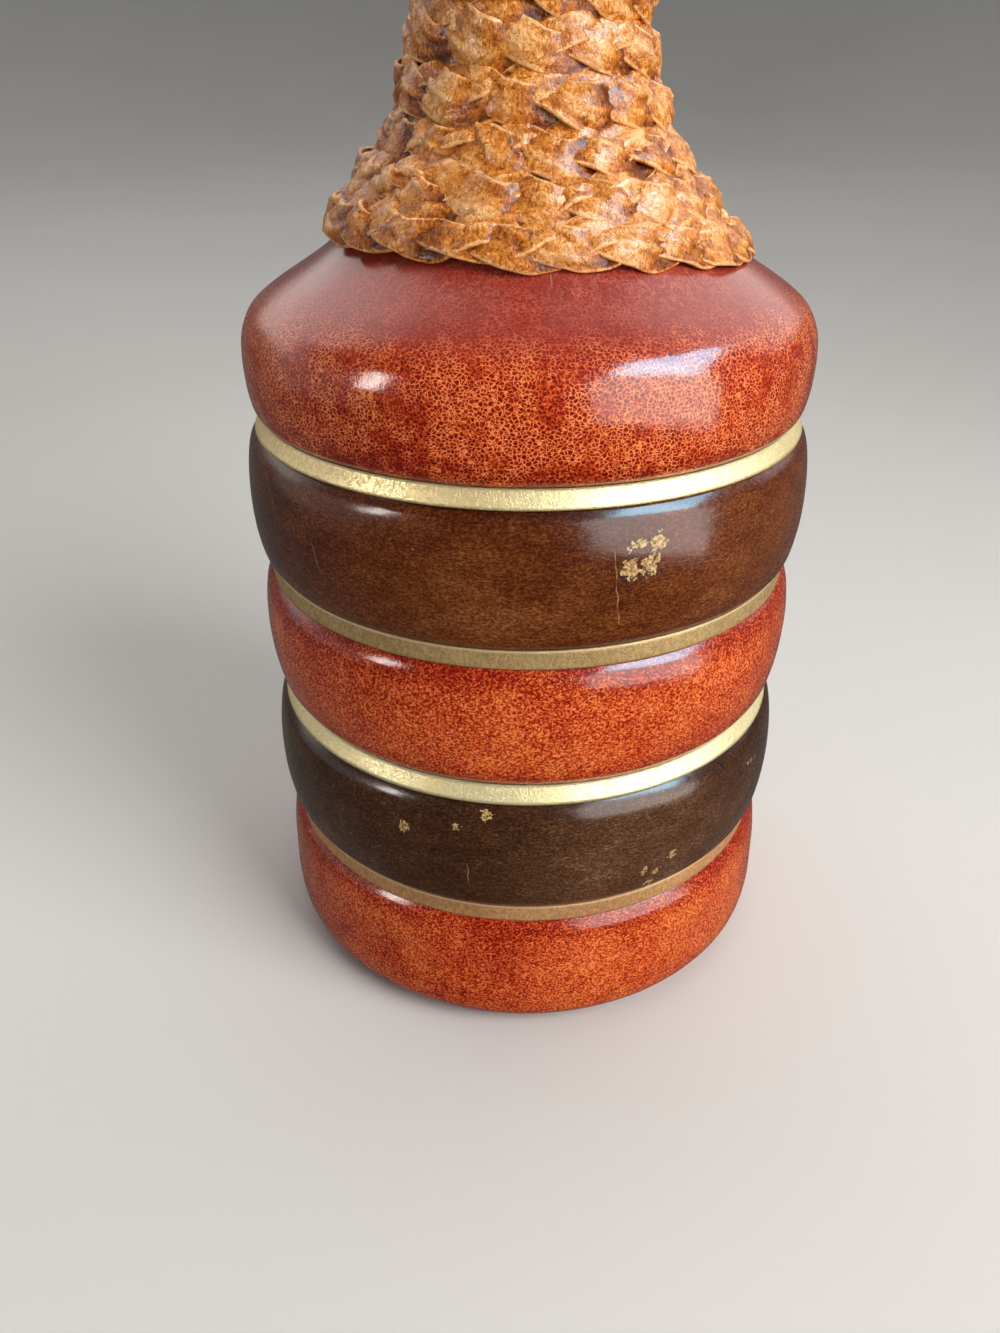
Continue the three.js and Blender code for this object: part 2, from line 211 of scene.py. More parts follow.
# Section and relief of a strand, with scales along it, across it and from strand to strand
STRAND_HALF_WIDTH = 3.9
STRAND_THICKNESS = 0.95
STRAND_SAG = 0.4
LEVEL_SAG = 0.65
STRAND_APART = 31.0
FOLD_GRAIN = ((1 / 5.5, 1 / 2.0, 1), 3)
CREASE_GRAIN = ((1 / 2.3, 1 / 1.1, 1), 9)
PUCKER_GRAIN = ((1 / 1.7, 1 / 1.3, 1), 15)
FRAY_GRAIN = ((1 / 3.0, 0.15, 1), 21)
FRAY = 0.08
CREASE_SHARPNESS = 3
CREASE_MIDDLE = 0.4
PLEATS = 3
PLEAT_WIDTH = 0.15
PLEAT_LENGTH = 9
PLEAT_SHOWN = (-0.1, 0.5)
PLEAT_SPREAD = 0.75
PLEAT_WANDER = 13
FOLD_HEIGHT = 0.3
CREASE_HEIGHT = 0.26
PLEAT_HEIGHT = 0.5
PUCKER_HEIGHT = 0.14

# Tone of a strand, from dark to light: painted shade on its underside, on the lining and where it dips
# under, painted light where it crosses over, relief tones partly rubbed wear on raised parts and partly
# painted shade in hollows, a random tone from lobe to lobe, and pale raw rims
TONE = 0.4
UNDERSIDE_SHADE_TONE = 0.3
LINING_SHADE_TONE = 0.2
FOLD_TONE = 0.2
CREASE_TONE = 0.14
PLEAT_TONE = 0.24
PUCKER_TONE = 0.12
WAVE_TONE = 0.16
CROSSING_SHADE_TONE = 0.26
RIM_TONE = 0.18
RIM_FROM = 0.8
RIM_RAGGED = 0.08

# Lining under the strands
SLEEVE_COLUMNS = 144
SLEEVE_ROWS = 60
SLEEVE_INSIDE = 0.25
SLEEVE_OUTSIDE = 1.9
SLEEVE_TRIM = 2.5
SLEEVE_LIFT = 9.0
SLEEVE_LIFT_TURN = 0.1
SLEEVE_DROP_TURN = 0.25


def smoothstep(low, high, value):
    share = np.clip((value - low) / (high - low), 0, 1)
    return share * share * (3 - 2 * share)


def hump(value, place, width):
    """One at a place, and next to nothing two widths away from it."""
    return np.exp(-(((value - place) / width) ** 2))


def round_axis(radius, angle, height):
    return np.stack([radius * np.cos(angle), radius * np.sin(angle), height], axis=1)


# Outlines of the turned solids


def meridian(node):
    """Outline of a turned CAD node where it crosses the front, as (radius, height) in order, and whether
    it is closed."""
    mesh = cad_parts[node].data
    links = {}
    for edge in mesh.edges:
        ends = [mesh.vertices[index].co for index in edge.vertices]
        if any(abs(co.x) > ON_PLANE or co.y > ON_PLANE for co in ends):
            continue
        one, other = [(round(abs(co.y) / MM, 2), round(co.z / MM, 2)) for co in ends]
        if one != other:
            links.setdefault(one, set()).add(other)
            links.setdefault(other, set()).add(one)
    loose = [spot for spot, near in links.items() if len(near) == 1]
    start = min(loose or links, key=lambda spot: (spot[1], spot[0]))
    line = [start]
    following = min(links[start], key=lambda spot: (spot[1], -spot[0]))
    while following != start:
        line.append(following)
        onward = [spot for spot in links[following] if spot != line[-2]]
        if not onward:
            break
        following = onward[0]
    return np.array(line), not loose


def curve_through(points, step):
    """A smooth curve through points, sampled about every step."""
    if len(points) < 3:
        first, last = points[0], points[-1]
        count = max(1, round(np.linalg.norm(last - first) / step))
        return first + (last - first) * np.linspace(0, 1, count + 1)[:, None]
    padded = np.vstack([2 * points[0] - points[1], points, 2 * points[-1] - points[-2]])
    samples = []
    for index in range(1, len(padded) - 2):
        p0, p1, p2, p3 = padded[index - 1 : index + 3]
        t1 = np.linalg.norm(p1 - p0) ** 0.5
        t2 = t1 + np.linalg.norm(p2 - p1) ** 0.5
        t3 = t2 + np.linalg.norm(p3 - p2) ** 0.5
        count = max(1, round(np.linalg.norm(p2 - p1) / step))
        t = np.linspace(t1, t2, count + 1)[:-1, None]
        a1 = (t1 - t) / t1 * p0 + t / t1 * p1
        a2 = (t2 - t) / (t2 - t1) * p1 + (t - t1) / (t2 - t1) * p2
        a3 = (t3 - t) / (t3 - t2) * p2 + (t - t2) / (t3 - t2) * p3
        b1 = (t2 - t) / t2 * a1 + t / t2 * a2
        b2 = (t3 - t) / (t3 - t1) * a2 + (t - t1) / (t3 - t1) * a3
        samples.append((t2 - t) / (t2 - t1) * b1 + (t - t1) / (t2 - t1) * b2)
    return np.vstack([*samples, points[-1:]])


def lengths_along(points):
    steps = np.linalg.norm(np.diff(points, axis=0), axis=1)
    return np.concatenate([[0], np.cumsum(steps)])


def resampled(points, positions):
    along = lengths_along(points)
    return np.stack([np.interp(positions, along, points[:, axis]) for axis in (0, 1)], axis=1)


def corner_runs(points, closed):
    """The outline split at its sharp corners."""
    count = len(points)
    corners = []
    for index in range(count) if closed else range(1, count - 1):
        before = points[index] - points[index - 1]
        after = points[(index + 1) % count] - points[index]
        cross = before[0] * after[1] - before[1] * after[0]
        if abs(math.degrees(math.atan2(cross, before @ after))) > CORNER_ANGLE:
            corners.append(index)
    if closed:
        points = np.vstack([points[corners[0] :], points[: corners[0] + 1]])
        cuts = [corner - corners[0] for corner in corners] + [count]
    else:
        cuts = [0, *corners, count - 1]
    return [points[low : high + 1] for low, high in zip(cuts, cuts[1:])]


def rounded_outline(node, step=PROFILE_STEP, rounding=EDGE_ROUNDING, reach=0.0):
    """A smooth outline of a turned node with rounded corners, made taller by reach at each end.
    Returns its points, whether it is closed, and each point's distance along the outer face, or NaN."""
    points, closed = meridian(node)
    points[:, 1] += reach * np.sign(points[:, 1] - points[:, 1].mean())
    runs = [curve_through(run, step) for run in corner_runs(points, closed)]
    sizes = [lengths_along(run)[-1] for run in runs]
    trims = [min(rounding, LONGEST_TRIM * size) for size in sizes]
    long_runs = [index for index, size in enumerate(sizes) if size > LONG_RUN * max(sizes)]
    outer = max(long_runs, key=lambda index: runs[index][:, 0].mean())
    line, along_outer = [], []
    for index, run in enumerate(runs):
        first = index == 0 and not closed
        last = index == len(runs) - 1 and not closed
        trim = trims[index]
        low, high = (0 if first else trim), sizes[index] - (0 if last else trim)
        inner = lengths_along(run)
        kept = inner[(inner > low + TRIM_CLEAR * trim) & (inner < high - TRIM_CLEAR * trim)]
        positions = np.concatenate([[low], kept, [high]])
        line.extend(resampled(run, positions))
        along_outer.extend(positions if index == outer else [np.nan] * len(positions))
        if last:
            continue
        following = (index + 1) % len(runs)
        start, corner = line[-1], run[-1]
        end = resampled(runs[following], np.array([trims[following]]))[0]
        for share in CORNER_SHARES:
            line.append((1 - share) ** 2 * start + 2 * share * (1 - share) * corner + share**2 * end)
            along_outer.append(np.nan)
    return np.array(line), closed, np.array(along_outer)


def profile_normals(points, closed):
    if closed:
        direction = np.roll(points, -1, axis=0) - np.roll(points, 1, axis=0)
    else:
        direction = np.gradient(points, axis=0)
    direction /= np.linalg.norm(direction, axis=1)[:, None] + 1e-9
    return np.stack([direction[:, 1], -direction[:, 0]], axis=1)


# Meshes


def new_object(name, vertices, faces, attributes, material):
    mesh = bpy.data.meshes.new(name)
    mesh.from_pydata((np.asarray(vertices) * MM).tolist(), [], faces)
    for key, values in attributes.items():
        layer = mesh.attributes.new(key, "FLOAT", "POINT")
        layer.data.foreach_set("value", np.asarray(values, np.float32).ravel())
    mesh.polygons.foreach_set("use_smooth", [True] * len(mesh.polygons))
    mesh.materials.append(material)
    made = bpy.data.objects.new(name, mesh)
    bpy.context.scene.collection.objects.link(made)
    return made


def dressed(made, node, body):
    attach(made, body)
    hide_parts(node)
    return made


def tube_faces(first, rows, around, wrap=False):
    """Quads between rings of points, and from the last ring to the first where they wrap."""
    faces = []
    for row in range(rows if wrap else rows - 1):
        low = first + row * around
        high = first + (row + 1) % rows * around
        for spot in range(around):
            after = (spot + 1) % around
            faces.append((low + spot, high + spot, high + after, low + after))
    return faces


def noise_at(points, scale, offset=0.0):
    """Smooth noise from -1 to 1 at points, with features about scale wide."""
    shift = Vector((offset, -offset, 0.37 * offset))
    return np.array([noise.noise(Vector(point) / scale + shift) for point in points])


def wrapped(angles):
    return (angles + math.pi) % (2 * math.pi) - math.pi


# Turned pieces


def faint_scratches(low, high, seed):
    """Short scratches at random places and angles between two heights."""
    rng = np.random.default_rng(seed)
    marks = []
    for _ in range(FAINT_SCRATCHES):
        azimuth, level = rng.uniform(-180, 180), rng.uniform(low, high)
        length, lean = rng.uniform(*FAINT_LENGTHS), rng.normal(0.0, FAINT_LEAN)
        end = (azimuth + length * math.sin(lean), level - length * math.cos(lean))
        marks.append((azimuth, level, *end))
    return marks


def wear_marks(azimuths, height, widest, wear):
    """How scuffed each spot is, how far it lies from a scratch, and how strong that scratch is there."""
    scuffs, scratches = wear
    marks = [(*scratch, 1.0) for scratch in scratches]
    if scratches:
        faint = faint_scratches(height.min() + FAINT_MARGIN, height.max() - FAINT_MARGIN, len(scuffs))
        marks += [(*scratch, FAINT_STRENGTH) for scratch in faint]
    scuffed = np.zeros_like(height)
    offset = np.full_like(height, SCRATCH_FAR)
    strength = np.zeros_like(height)
    for azimuth, level, size in scuffs:
        across = wrapped(azimuths - math.radians(azimuth))[None, :] * widest
        scuffed = np.maximum(scuffed, np.exp(-(across**2 + (height - level) ** 2) / size**2))
    for start_azimuth, start_height, end_azimuth, end_height, depth in marks:
        across = wrapped(azimuths - math.radians(start_azimuth))[None, :] * widest
        climb = height - start_height
        run = math.radians(end_azimuth - start_azimuth) * widest
        rise = end_height - start_height
        length = math.hypot(run, rise)
        along = (across * run + climb * rise) / length
        side = (across * rise - climb * run) / length
        started = smoothstep(-SCRATCH_END, SCRATCH_END, along)
        ends = started * smoothstep(length + SCRATCH_END, length - SCRATCH_END, along)
        near = depth * ends * smoothstep(*SCRATCH_REACH, np.abs(side))
        offset = np.where(near > strength, side, offset)
        strength = np.maximum(strength, near)
    return scuffed, offset, strength


def turned_mesh(radius, height, azimuths, marks, closed):
    """Vertices, faces and point values of rows of points turned about the axis, each row on it one point."""
    rows, columns = radius.shape
    index = np.zeros((rows, columns), int)
    vertices, faces = [], []
    values = {key: [] for key in marks}
    for row in range(rows):
        pole = radius[row].max() < ON_AXIS
        count = 1 if pole else columns
        index[row] = len(vertices) + (0 if pole else np.arange(columns))
        x = radius[row] * np.sin(azimuths)
        y = -radius[row] * np.cos(azimuths)
        vertices.extend(np.stack([x, y, height[row]], axis=1)[:count])
        for key, field in marks.items():
            values[key].extend(field[row][:count])
    for row in range(rows if closed else rows - 1):
        above = (row + 1) % rows
        for column in range(columns):
            right = (column + 1) % columns
            ring = [index[row][column], index[row][right], index[above][right], index[above][column]]
            faces.append(list(dict.fromkeys(int(spot) for spot in ring)))
    return vertices, faces, values


def turned_piece(
    name, node, body, slot, material, *, uneven=0.0, seam=None, wear=UNWORN, reach=0.0, lean=0.0,
    segments=SEGMENTS, rounding=EDGE_ROUNDING,
):
    """A smooth turned piece that stands for a CAD node, with a butt seam at an azimuth if one is given.
    Lean is how much further out its outer face lies at the bottom than at the top."""
    points, closed, along = rounded_outline(node, rounding=rounding, reach=reach)
    normals = profile_normals(points, closed)
    azimuths = np.linspace(-math.pi, math.pi, segments, endpoint=False)
    widest = points[:, 0].max()
    seam_at = -math.pi if seam is None else wrapped(math.radians(seam))
    if seam is not None:
        near = wrapped(seam_at + np.array(SEAM_OFFSETS) / widest)
        far = np.abs(wrapped(azimuths - seam_at)) * widest > SEAM_CLEAR
        azimuths = np.sort(np.concatenate([azimuths[far], near]))
    outer = ~np.isnan(along)
    rise = np.where(outer, along, 0)
    size = rise.max()
    edge = np.where(outer, np.minimum(rise, size - rise), 0)
    face = np.where(outer, smoothstep(0, FACE_EASE, edge), 0)
    rows, columns = len(points), len(azimuths)
    around = np.ones((1, columns))
    radius = points[:, 0][:, None] * around
    height = points[:, 1][:, None] * around
    marks = {
        "edge": edge[:, None] * around,
        "rise": rise[:, None] * around,
        "up": rise[:, None] / size * around,
        "girth": np.repeat(((azimuths - seam_at) % (2 * math.pi) * widest)[None, :], rows, axis=0),
        "seam": np.zeros((rows, columns)),
    }
    marks["scuff"], marks["scratch"], marks["scratched"] = wear_marks(azimuths, height, widest, wear)
    shift = -SCUFF_DEPTH * marks["scuff"] * outer[:, None]
    shift += lean * (0.5 - marks["up"]) * outer[:, None]
    if uneven:
        spots = np.stack([radius * np.sin(azimuths), -radius * np.cos(azimuths), height], axis=-1)
        spots = spots.reshape(-1, 3)
        wide = noise_at(spots, WIDE_SWELL, len(name)).reshape(rows, columns)
        small = noise_at(spots, SMALL_SWELL, 2 * len(name)).reshape(rows, columns)
        shift += uneven * (WIDE_SHARE * wide + SMALL_SHARE * small) * face[:, None]
    if seam is not None:
        off = np.abs(wrapped(azimuths - seam_at))[None, :] * radius
        groove = -SEAM_DEPTH * hump(off, 0, SEAM_WIDTH)
        lip = SEAM_LIP * hump(off, SEAM_LIP_OFFSET, SEAM_LIP_WIDTH)
        shift += (groove + lip) * outer[:, None]
        marks["seam"] = hump(off, 0, SEAM_STAIN_WIDTH) * outer[:, None]
    on_axis = points[:, 0] < ON_AXIS
    radius = np.where(on_axis[:, None], 0, radius + shift * normals[:, 0][:, None])
    height = height + shift * normals[:, 1][:, None]
    vertices, faces, values = turned_mesh(radius, height, azimuths, marks, closed)
    return dressed(new_object(name, vertices, faces, values, material), node, body)


# Plait


def seat_line():
    """The line that the plait lies on, up the shoulder cover and then the glass, from below its foot
    to the lip."""
    cover, _, along = rounded_outline("shoulder_cover", step=COVER_STEP)
    cover = cover[~np.isnan(along)]
    cover = cover[cover[:, 1] > SLOPE_START_HEIGHT]
    glass, _ = meridian("glass_bottle")
    glass = glass[: int(np.argmax(glass[:, 1])) + 1]
    above = glass[(glass[:, 1] > cover[-1, 1] + COVER_EASE) & (glass[:, 1] <= LIP_LOW_HEIGHT)]
    line = curve_through(np.vstack([cover, above]), SEAT_STEP)
    line = resampled(line, np.arange(0, lengths_along(line)[-1], SEAT_STEP))
    kernel = np.hanning(SEAT_SMOOTHING)
    kernel /= kernel.sum()
    reach = SEAT_SMOOTHING // 2
    padded = np.pad(line, ((reach, reach), (0, 0)), mode="reflect", reflect_type="odd")
    return np.stack([np.convolve(padded[:, axis], kernel, "valid") for axis in (0, 1)], axis=1)


def seat_at(station, seat):
    """Radius and height, and the outward and upward parts of the normal, at distances along the seat."""
    line, along, normals, _ = seat
    return [np.interp(station, along, field) for field in (*line.T, *normals.T)]


def wander(position, size, rng):
    """A smooth random value from -1 to 1 that changes about every size."""
    values = rng.uniform(-1, 1, int(position.max() / size) + 4)
    place = (position - position.min()) / size
    low = np.floor(place).astype(int)
    share = smoothstep(0, 1, place - low)
    return values[low] * (1 - share) + values[low + 1] * share


def drift(position, change, rng):
    """A slow random change along a strand, given as its amount and length."""
    amount, length = change
    return amount * wander(position, length, rng)


def strand_section():
    """Points round a strand's section: share of its half width, and height share."""
    top = [(share, 1.0) for share in np.linspace(-1, 1, 13)]
    side = [(1.03, 0.3), (1.0, -0.5)]
    under = [(share, -1.0) for share in np.linspace(0.8, -0.8, 4)]
    other = [(-1.0, -0.5), (-1.03, 0.3)]
    return np.array(top + side + under + other)


def strand_noise(flat, grain, number):
    """Noise over a strand's flat points, given as its scales and its seed."""
    scale, seed = grain
    return noise_at(flat.reshape(-1, 3) * scale, 1.0, seed + number).reshape(flat.shape[:-1])


def strand_course(number, reached, turn, ends, rng):
    """A strand's phase, sideways place, height over its seat, half width and roll at each step along it."""
    phase = 2 * math.pi * (reached / STRAND_WAVE + number / STRANDS) + drift(reached, PHASE_DRIFT, rng)
    sway = STRAND_SWAY * (1 + drift(reached, SWAY_DRIFT, rng)) * (END_SWAY + (1 - END_SWAY) * ends)
    side = sway * np.sin(phase) + drift(reached, SIDE_DRIFT, rng)
    drawn = smoothstep(*DRAWN_UP_FROM, turn) * smoothstep(*DRAWN_UP_TO, turn)
    side = np.where(side < 0, side * (1 - DRAWN_IN * drawn), side) + DRAWN_UP * drawn
    for place, width, drop in LET_DOWN:
        side = side - drop * hump(turn, place, width)
    low_end = smoothstep(END_TUCK_LENGTH, 0, reached)
    high_end = smoothstep(END_TUCK_LENGTH, 0, reached.max() - reached)
    side = side + END_TUCK * (low_end - high_end)
    over = -np.sin(2 * phase)
    tilt = np.radians(ROW_TILT) * smoothstep(*ROW_TILT_TURNS, turn)
    rise = STRAND_BASE * (END_RISE + (1 - END_RISE) * ends) + STRAND_RISE * ends * over
    rise = rise + drift(reached, RISE_DRIFT, rng) - np.tan(tilt) * side
    for place, width, swell in LEFT_SWELLS:
        rise = rise + swell * hump(turn, place, width)
    rise = rise + NECK_SWELL * smoothstep(*NECK_SWELL_TURNS, turn) * ends
    rise = rise * (1 - END_FLATTENING * (low_end + high_end))
    half = STRAND_HALF_WIDTH * (1 + drift(reached, WIDTH_DRIFT, rng)) * (END_WIDTH + (1 - END_WIDTH) * ends)
    half = half * (1 - DRAWN_NARROW * drawn)
    low_roll = -np.radians(LOW_EDGE_ROLL) * np.clip(-np.sin(phase), 0, 1)
    high_roll = np.radians(HIGH_EDGE_ROLL) * np.clip(np.sin(phase), 0, 1)
    roll = low_roll + high_roll + tilt + np.radians(drift(reached, ROLL_DRIFT, rng))
    return phase, side, rise, half, roll


def strand(number, reached, turn, angle, ends, seat):
    """Points, tones and distances across of one strand of the plait, a row for each step along it."""
    rng = np.random.default_rng(STRAND_SEED + number)
    phase, side, rise, half, roll = strand_course(number, reached, turn, ends, rng)
    over = -np.sin(2 * phase)
    radius, height, out, up = seat_at(seat[-1] + PLAIT_PITCH * turn + side, seat)
    wall = round_axis(out, angle, up)
    center = round_axis(radius, angle, height) + wall * rise[:, None]
    ahead = np.gradient(center, axis=0)
    ahead /= np.linalg.norm(ahead, axis=1)[:, None]
    normal = wall - ahead * np.sum(wall * ahead, axis=1)[:, None]
    normal /= np.linalg.norm(normal, axis=1)[:, None]
    width = np.cross(ahead, normal)
    tilted_width = width * np.cos(roll)[:, None] - normal * np.sin(roll)[:, None]
    tilted_normal = normal * np.cos(roll)[:, None] + width * np.sin(roll)[:, None]

    section = strand_section()
    share = np.repeat(section[:, 0][None, :], len(reached), axis=0)
    cross = share * half[:, None]
    run = np.repeat(reached[:, None], len(section), axis=1)
    flat = np.stack([run, cross, np.full_like(cross, STRAND_APART * number)], axis=-1)
    folds = strand_noise(flat, FOLD_GRAIN, number)
    creases = (1 - np.abs(strand_noise(flat, CREASE_GRAIN, number))) ** CREASE_SHARPNESS
    puckers = strand_noise(flat, PUCKER_GRAIN, number)
    frayed = 1 + FRAY * strand_noise(flat, FRAY_GRAIN, number)
    pleats = np.zeros_like(cross)
    for _ in range(PLEATS):
        presence = smoothstep(*PLEAT_SHOWN, wander(reached, PLEAT_LENGTH, rng))
        middle = PLEAT_SPREAD * wander(reached, PLEAT_WANDER, rng)
        pleats += hump(share, middle[:, None], PLEAT_WIDTH) * presence[:, None]
    on_top = (section[:, 1] == 1)[None, :]
    thickness = STRAND_THICKNESS * (END_THICKNESS + (1 - END_THICKNESS) * ends)
    level = section[:, 1][None, :] * thickness[:, None] / 2
    level = level - STRAND_SAG * share**2 * (LEVEL_SAG + (1 - LEVEL_SAG) * over)[:, None]
    worked = FOLD_HEIGHT * folds + CREASE_HEIGHT * (creases - CREASE_MIDDLE)
    worked = worked + PLEAT_HEIGHT * pleats + PUCKER_HEIGHT * puckers
    level = level + on_top * worked * ends[:, None]
    spots = center[:, None, :] + tilted_width[:, None, :] * (cross * frayed)[:, :, None]
    spots = spots + tilted_normal[:, None, :] * level[:, :, None]
    # Painted shade and light from the strand's shape: raised folds, creases, pleats and puckers are lighter
    # and hollows darker, partly rubbed wear; the strand is lighter where it crosses over, darker where it
    # dips under, and darker on its sides and underside. The wave tone is random and the rims are pale raw
    # edges.
    tone = TONE + FOLD_TONE * folds + CREASE_TONE * (creases - CREASE_MIDDLE)
    tone = tone + PLEAT_TONE * pleats + PUCKER_TONE * puckers
    tone = tone + WAVE_TONE * wander(phase / math.pi, 1.0, rng)[:, None] + CROSSING_SHADE_TONE * over[:, None]
    tone = tone + RIM_TONE * smoothstep(RIM_FROM, 1.0, np.abs(share) + RIM_RAGGED * puckers)
    return spots, np.where(on_top, tone, UNDERSIDE_SHADE_TONE), cross


def sleeve(turns, seat):
    """A thin closed lining under the strands, from the plait's first turn to its last."""
    start = seat[-1]
    first = np.arange(SLEEVE_COLUMNS) / SLEEVE_COLUMNS
    last = first + np.floor(turns - first)
    angle = math.radians(PLAIT_START_ANGLE) - 2 * math.pi * first
    low = start + PLAIT_PITCH * first - SLEEVE_TRIM
    low = low + SLEEVE_LIFT * smoothstep(SLEEVE_LIFT_TURN, 0, first)
    high = start + PLAIT_PITCH * last + SLEEVE_TRIM
    high = high - SLEEVE_LIFT * smoothstep(SLEEVE_DROP_TURN, 0, turns - last)
    shares = np.linspace(0, 1, SLEEVE_ROWS)
    loop = [(share, SLEEVE_OUTSIDE) for share in shares]
    loop += [(share, SLEEVE_INSIDE) for share in shares[::-1]]
    vertices = []
    for share, offset in loop:
        radius, height, out, up = seat_at(low + (high - low) * share, seat)
        vertices.extend(round_axis(radius + offset * out, angle, height + offset * up))
    return vertices, tube_faces(0, len(loop), SLEEVE_COLUMNS, wrap=True)


def plait(material):
    """The plait up the neck, as one piece: three strands over a lining."""
    line = seat_line()
    along = lengths_along(line)
    start = along[np.argmin(np.linalg.norm(line - np.array(NECK_FOOT), axis=1))]
    seat = line, along, profile_normals(line, False), start
    end = np.interp(LIP_LOW_HEIGHT - PLAIT_TOP_CLEARANCE, line[:, 1], along)
    turns = (end - start) / PLAIT_PITCH
    fine = np.linspace(0, turns, PLAIT_SAMPLES)
    girth = 2 * math.pi * np.interp(start + PLAIT_PITCH * fine, along, line[:, 0] + STRAND_BASE)
    travelled = np.concatenate([[0], np.cumsum((girth[1:] + girth[:-1]) / 2 * np.diff(fine))])
    length = travelled[-1]
    reached = np.linspace(0, length, int(length / STRAND_STEP))
    turn = np.interp(reached, travelled, fine)
    angle = math.radians(PLAIT_START_ANGLE) - 2 * math.pi * turn
    ends = smoothstep(0, END_TAPER, reached) * smoothstep(0, END_TAPER, length - reached)
    vertices, faces = sleeve(turns, seat)
    marks = {key: [0.0] * len(vertices) for key in ("run", "span", "rim")}
    # The lining is toned dark as painted shade between the strands.
    marks["tone"] = [LINING_SHADE_TONE] * len(vertices)
    for number in range(STRANDS):
        spots, tone, cross = strand(number, reached, turn, angle, ends, seat)
        steps, around = cross.shape
        first = len(vertices)
        last = first + (steps - 1) * around
        vertices.extend(spots.reshape(-1, 3))
        marks["tone"].extend(tone.ravel())
        marks["run"].extend(np.repeat(reached, around))
        marks["span"].extend((cross + STRAND_SPACING * number).ravel())
        marks["rim"].extend(np.abs(np.tile(strand_section()[:, 0], steps)))
        faces += tube_faces(first, steps, around)
        faces.append(tuple(first + spot for spot in range(around)))
        faces.append(tuple(last + spot for spot in reversed(range(around))))
    made = new_object("plaited_neck", vertices, faces, marks, material)
    return dressed(made, "neck_plait", "bottle")


# Materials


def blank(name):
    made = bpy.data.materials.new(name)
    made.use_nodes = True
    return made, made.node_tree


def fill(made, inputs):
    """Inputs of a shader node: one given as a socket is linked, and any other value is set."""
    for key, value in inputs.items():
        if isinstance(value, bpy.types.NodeSocket):
            made.id_data.links.new(value, made.inputs[key])
        else:
            made.inputs[key].default_value = value


def finished(made, inputs):
    """A material with inputs of its main shader filled in."""
    fill(made.node_tree.nodes["Principled BSDF"], inputs)
    return made


def fed(kind, inputs, **settings):
    """A new shader node in the tree of the sockets that feed it."""
    tree = next(value.id_data for value in inputs.values() if isinstance(value, bpy.types.NodeSocket))
    made = tree.nodes.new("ShaderNode" + kind)
    for key, value in settings.items():
        setattr(made, key, value)
    fill(made, inputs)
    return made


def calc(operation, *values):
    return fed("Math", dict(enumerate(values)), operation=operation).outputs[0]


def fade(value, low, high, start=0.0, end=1.0):
    """A smooth change from start to end as value goes from low to high."""
    inputs = {"Value": value, "From Min": low, "From Max": high, "To Min": start, "To Max": end}
    return fed("MapRange", inputs, interpolation_type="SMOOTHSTEP").outputs[0]


def blend(share, one, other):
    return fed("Mix", {0: share, 6: one, 7: other}, data_type="RGBA").outputs[2]


def noise_of(place, scale, detail=2.0, roughness=0.5, distortion=0.0):
    inputs = {"Vector": place, "Scale": scale, "Detail": detail}
    inputs.update({"Roughness": roughness, "Distortion": distortion})
    return fed("TexNoise", inputs).outputs[0]


def stretched(place, scale):
    return fed("VectorMath", {0: place, 1: scale}, operation="MULTIPLY").outputs[0]


def warped(place, scale, amount):
    """The place moved about by noise."""
    colours = fed("TexNoise", {"Vector": place, "Scale": scale, "Detail": 2.0}).outputs[1]
    centred = fed("VectorMath", {0: colours, 1: (0.5, 0.5, 0.5)}, operation="SUBTRACT").outputs[0]
    moved = fed("VectorMath", {0: centred, "Scale": amount}, operation="SCALE").outputs[0]
    return fed("VectorMath", {0: place, 1: moved}, operation="ADD").outputs[0]


def attribute(tree, name):
    made = tree.nodes.new("ShaderNodeAttribute")
    made.attribute_name = name
    return made.outputs["Fac"]


def ramp(value, stops):
    made = fed("ValToRGB", {0: value})
    elements = made.color_ramp.elements
    while len(elements) < len(stops):
        elements.new(0.5)
    for element, (place, colour) in zip(elements, stops):
        element.position = place
        element.color = (*colour, 1)
    return made.outputs[0]


def bump(height, strength, distance, normal=None):
    inputs = {"Height": height, "Strength": strength, "Distance": distance}
    if normal is not None:
        inputs["Normal"] = normal
    return fed("Bump", inputs).outputs[0]


def object_place(tree):
    return tree.nodes.new("ShaderNodeTexCoord").outputs["Object"]


def flat_place(tree, along, across):
    """Two attributes in mm as a flat place in metres."""
    one = calc("MULTIPLY", attribute(tree, along), MM)
    other = calc("MULTIPLY", attribute(tree, across), MM)
    return fed("CombineXYZ", {0: one, 1: other}).outputs[0]


def cracks_of(place, scale, width):
    """One on the lines between cells and zero inside them."""
    cells = fed("TexVoronoi", {"Vector": place, "Scale": scale}, feature="DISTANCE_TO_EDGE")
    return fade(cells.outputs["Distance"], 0.0, width, 1.0, 0.0)


def lines_of(place, scale, width, detail=3.0):
    """One on winding lines and zero between them."""
    level = calc("SUBTRACT", noise_of(place, scale, detail, 0.6), 0.5)
    return fade(calc("ABSOLUTE", level), 0.0, width, 1.0, 0.0)


def layered(*parts):
    """The sum of values, each given with its weight."""
    total = 0.0
    for value, weight in parts:
        total = calc("MULTIPLY_ADD", value, weight, total)
    return total


RED_CONTRAST = 1.35
RED_STOPS = (
    (0.0, (0.15, 0.004, 0.0005)),
    (0.25, (0.29, 0.011, 0.001)),
    (0.5, (0.47, 0.046, 0.006)),
    (0.75, (0.68, 0.125, 0.022)),
    (1.0, (0.88, 0.24, 0.07)),
)
AMBER_STOPS = (
    (0.0, (0.2, 0.014, 0.001)),
    (0.5, (0.52, 0.092, 0.006)),
    (1.0, (0.88, 0.3, 0.06)),
)


